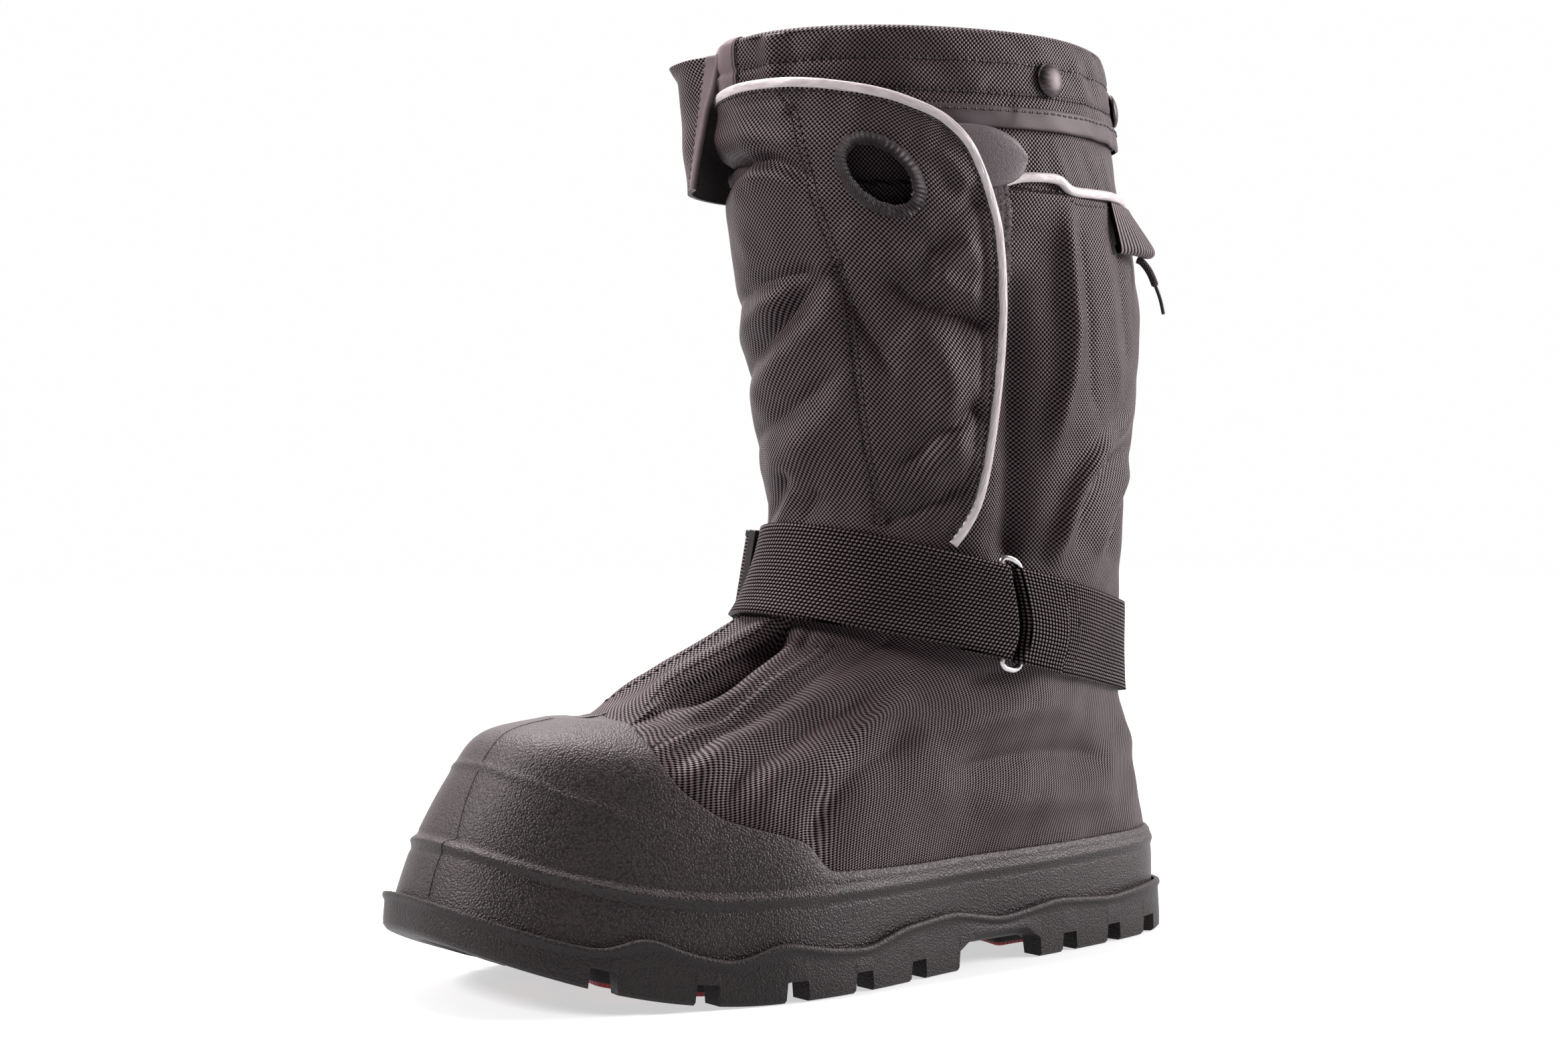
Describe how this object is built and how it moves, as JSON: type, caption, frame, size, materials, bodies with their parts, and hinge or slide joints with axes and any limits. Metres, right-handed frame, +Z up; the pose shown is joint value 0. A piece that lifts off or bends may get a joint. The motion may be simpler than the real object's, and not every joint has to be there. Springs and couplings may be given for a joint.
{
  "type": "winter overshoe",
  "caption": "Tall insulated overshoe with rubber toe cap, lugged outsole with red tread inserts, nylon shaft, wrap-over front flap with piping, and an instep strap with a slide buckle.",
  "frame": {"origin": "middle of the footprint's bounding box on the floor", "axes": "+X to the toe, +Y to the wearer's left (lateral side), +Z up the shaft"},
  "size_m": [0.3476, 0.1392, 0.3636],
  "materials": {
    "rubber": "pebble-grained, satin",
    "sole_rubber": "moulded, matt",
    "red_rubber": "moulded with a fine herringbone, matt",
    "nylon": "coarse basket weave, coated",
    "webbing": "ribbed webbing",
    "reflective": "reflective piping",
    "thread": "satin stitch",
    "leatherette": "fine grain, satin",
    "plastic": "moulded",
    "steel": "plated",
    "foam": "felt-topped foam"
  },
  "bodies": {
    "root": {"outsole": "sole_rubber", "galosh": "rubber", "insole": "foam", "upper_vamp": "nylon", "upper_quarters": "nylon", "upper_shaft": "nylon", "front_flap": "nylon", "flap_hole_ring": "thread", "flap_piping": "reflective", "back_piping": "reflective", "pull_tab": "leatherette", "hook_strip": "webbing", "cuff": "nylon", "cuff_binding": "webbing", "collar_wing": "nylon", "wing_binding": "webbing", "snap_button_front": "steel", "snap_button_rear": "steel", "instep_strap": "webbing", "heel_strap": "webbing", "strap_ring": "steel", "strap_buckle": "plastic", "strap_tail": "webbing", "pull_loop": "webbing", "drawcord": "webbing", "drawcord_tip": "plastic", "tread_insert_01": "red_rubber", "tread_insert_02": "red_rubber", "tread_insert_03": "red_rubber", "tread_insert_04": "red_rubber", "tread_insert_05": "red_rubber", "tread_insert_06": "red_rubber", "tread_insert_07": "red_rubber", "tread_insert_08": "red_rubber", "tread_insert_09": "red_rubber", "tread_insert_10": "red_rubber", "tread_insert_11": "red_rubber", "tread_insert_12": "red_rubber", "tread_insert_13": "red_rubber", "tread_insert_14": "red_rubber", "tread_insert_15": "red_rubber"}
  },
  "joints": []
}
